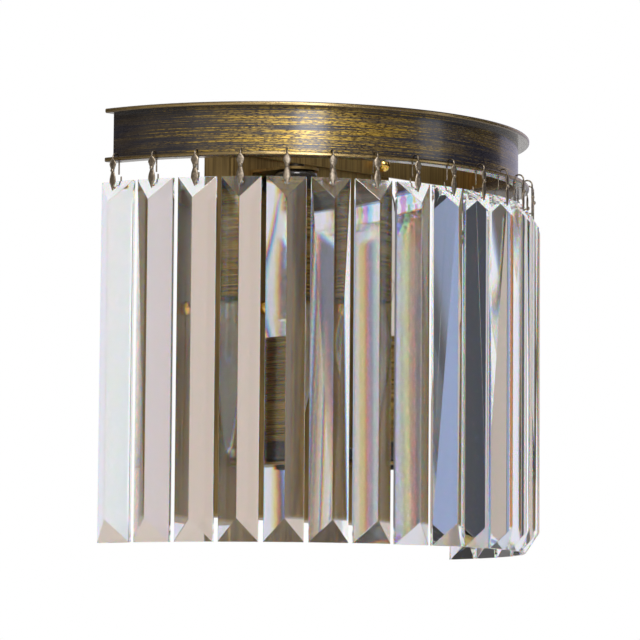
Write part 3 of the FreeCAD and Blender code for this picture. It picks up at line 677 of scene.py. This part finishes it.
# What glass and metal see round the room: azimuth in turns (0 is the wall's side, and it runs
# by the left to the front at 0.5), and colour. Backdrop, dark curtain, soft box, unlit side.
ROOM = [
    (0.000, (1.05, 1.02, 1.02)), (0.085, (0.84, 0.83, 0.83)),
    (0.112, (0.10, 0.09, 0.085)), (0.185, (0.12, 0.105, 0.095)),
    (0.200, (0.30, 0.27, 0.25)), (0.262, (0.34, 0.31, 0.28)),
    (0.270, (0.70, 0.66, 0.64)), (0.390, (0.64, 0.59, 0.57)),
    (0.400, (1.10, 1.12, 1.20)), (0.438, (1.10, 1.12, 1.20)),
    (0.446, (0.30, 0.25, 0.20)), (0.565, (0.20, 0.17, 0.15)),
    (0.578, (0.26, 0.33, 0.54)), (0.610, (0.26, 0.33, 0.54)),
    (0.648, (0.21, 0.26, 0.39)), (0.655, (0.055, 0.062, 0.080)),
    (0.690, (0.050, 0.054, 0.070)), (0.696, (0.44, 0.36, 0.30)),
    (0.715, (0.42, 0.35, 0.30)), (0.720, (0.64, 0.57, 0.52)),
    (0.734, (0.60, 0.53, 0.48)), (0.739, (0.14, 0.12, 0.11)),
    (0.764, (0.16, 0.14, 0.13)), (0.769, (0.84, 0.84, 0.94)),
    (0.795, (0.80, 0.80, 0.90)), (0.802, (0.70, 0.69, 0.77)),
    (0.855, (0.70, 0.69, 0.75)), (0.866, (0.62, 0.53, 0.46)),
    (0.949, (0.63, 0.53, 0.47)), (0.954, (0.63, 0.61, 0.61)),
    (0.968, (0.66, 0.65, 0.65)), (0.976, (1.05, 1.02, 1.02)),
]
ABOVE = (0.80, 0.80, 0.82)
BELOW = (0.62, 0.58, 0.55)

# What only metal mirrors, each between two edges in turns: two soft boxes, the unlit side and
# a pale board.
LEFT_BOX = ((0.396, 0.406), (0.432, 0.442))
RIGHT_BOX = ((0.566, 0.576), (0.602, 0.612))
UNLIT = ((0.560, 0.575), (0.736, 0.742))
BOARD = ((0.738, 0.744), (0.850, 0.880))
BOX_COLOUR = (6.0, 6.2, 6.9)
UNLIT_COLOUR = (0.012, 0.011, 0.011)
BOARD_COLOUR = (0.62, 0.59, 0.74)


def pale_floor():
    """A wide pale floor well below the sconce that keeps its shadow."""
    f = finish("pale_floor")
    x, y, z = f.coordinates("Object")
    mottle = f.noise(x * 3.0, y * 3.0, 0.0)
    matt = f.shader("ShaderNodeBsdfDiffuse", {"Color": f.blend(mottle, *PALE)})
    lit = f.shader("ShaderNodeEmission", {"Color": WHITE, "Strength": 1.0})
    f.done(f.mix(f.rays(*SEEN) * 0.75, matt, lit))
    signs = ((-1, -1), (1, -1), (1, 1), (-1, 1))
    corners = [(a * FLOOR_REACH, b * FLOOR_REACH, FLOOR_Z) for a, b in signs]
    mesh = bpy.data.meshes.new("floor")
    mesh.from_pydata(corners, [], [(0, 1, 2, 3)])
    mesh.materials.append(f.owner)
    floor = bpy.data.objects.new("floor", mesh)
    bpy.context.scene.collection.objects.link(floor)


def studio_world():
    """White behind the sconce and plain soft light on it. Glass sees the room, metal sees the
    room with its boxes, and the order matters: rays through sharp glass are also glossy."""
    world = bpy.data.worlds.new("studio")
    bpy.context.scene.world = world
    f = Finish(world)
    x, y, z = f.coordinates("Generated")
    azimuth = x.turn(-y) / (2 * math.pi) + 0.5
    room = f.node("ShaderNodeValToRGB", {"stops": ROOM}, {0: azimuth}).outputs[0]
    room = f.blend(z.step(0.45, 0.62), room, ABOVE)
    room = f.blend((-z).step(0.25, 0.5), room, BELOW)
    boxes = azimuth.between(*LEFT_BOX) + azimuth.between(*RIGHT_BOX) * 0.2
    boxes = boxes * abs(z).step(0.30, 0.45, 1.0, 0.0)
    gleaming = f.blend(azimuth.between(*UNLIT) * 0.9, room, UNLIT_COLOUR)
    gleaming = f.blend(azimuth.between(*BOARD), gleaming, BOARD_COLOUR)
    gleaming = f.blend(boxes, gleaming, BOX_COLOUR)
    seen = f.mix(f.rays("Is Glossy Ray"), f.background(SOFT_LIGHT, 0.55), f.background(gleaming))
    through = f.rays("Is Singular Ray", "Is Transmission Ray")
    seen = f.mix(through, seen, f.background(room))
    f.done(f.mix(f.rays("Is Camera Ray"), seen, f.background(WHITE)))


LAMP_AIM = (0, -0.05, -0.05)


def soft_lamp(name, place, size, power, colour, mirrored):
    """A round soft lamp aimed at the sconce; metal mirrors it only where `mirrored` says so."""
    lamp = bpy.data.lights.new(name, "AREA")
    lamp.shape, lamp.size, lamp.energy, lamp.color = "DISK", size, power, colour
    holder = bpy.data.objects.new(name, lamp)
    holder.location = place
    holder.rotation_euler = (Vector(LAMP_AIM) - Vector(place)).to_track_quat("-Z", "Y").to_euler()
    holder.visible_transmission = False
    holder.visible_glossy = mirrored
    bpy.context.scene.collection.objects.link(holder)


pale_floor()
studio_world()
soft_lamp("key", (-1.1, -1.3, 1.1), size=0.9, power=22.0, colour=(1.0, 0.98, 0.95), mirrored=True)
soft_lamp("fill", (1.5, -0.9, 0.5), size=1.1, power=12.0, colour=(0.95, 0.97, 1.0), mirrored=False)


# ---- camera -------------------------------------------------------------------------------

CAMERA_AZIMUTH = math.radians(46.79)  # to the left of straight on
CAMERA_ELEVATION = math.radians(-5.61)
CAMERA_ROLL = math.radians(0.45)
CAMERA_DISTANCE = 2.22702
CAMERA_TARGET = Vector((0.01431, -0.01523, -0.04805))
LENS, SENSOR = 215.13, 36.0


def photographers_camera():
    """Looks from the front left and a little below, as the photograph does."""
    level = math.cos(CAMERA_ELEVATION)
    back = Vector((-math.sin(CAMERA_AZIMUTH) * level, -math.cos(CAMERA_AZIMUTH) * level,
                   math.sin(CAMERA_ELEVATION)))
    right = (-back).cross(Vector((0, 0, 1))).normalized()
    up = right.cross(-back)
    c, s = math.cos(CAMERA_ROLL), math.sin(CAMERA_ROLL)
    turned_right = right * c + up * s
    turned_up = up * c - right * s
    axes = Matrix((turned_right, turned_up, back)).transposed().to_4x4()
    data = bpy.data.cameras.new("camera")
    data.lens, data.sensor_width = LENS, SENSOR
    data.clip_start, data.clip_end = 0.1, 50.0
    camera = bpy.data.objects.new("camera", data)
    camera.matrix_world = Matrix.Translation(CAMERA_TARGET + back * CAMERA_DISTANCE) @ axes
    bpy.context.scene.collection.objects.link(camera)
    bpy.context.scene.camera = camera


photographers_camera()

scene = bpy.context.scene
scene.view_settings.view_transform = "Standard"
scene.cycles.max_bounces = 24
scene.cycles.glossy_bounces = 12
scene.cycles.transmission_bounces = 20
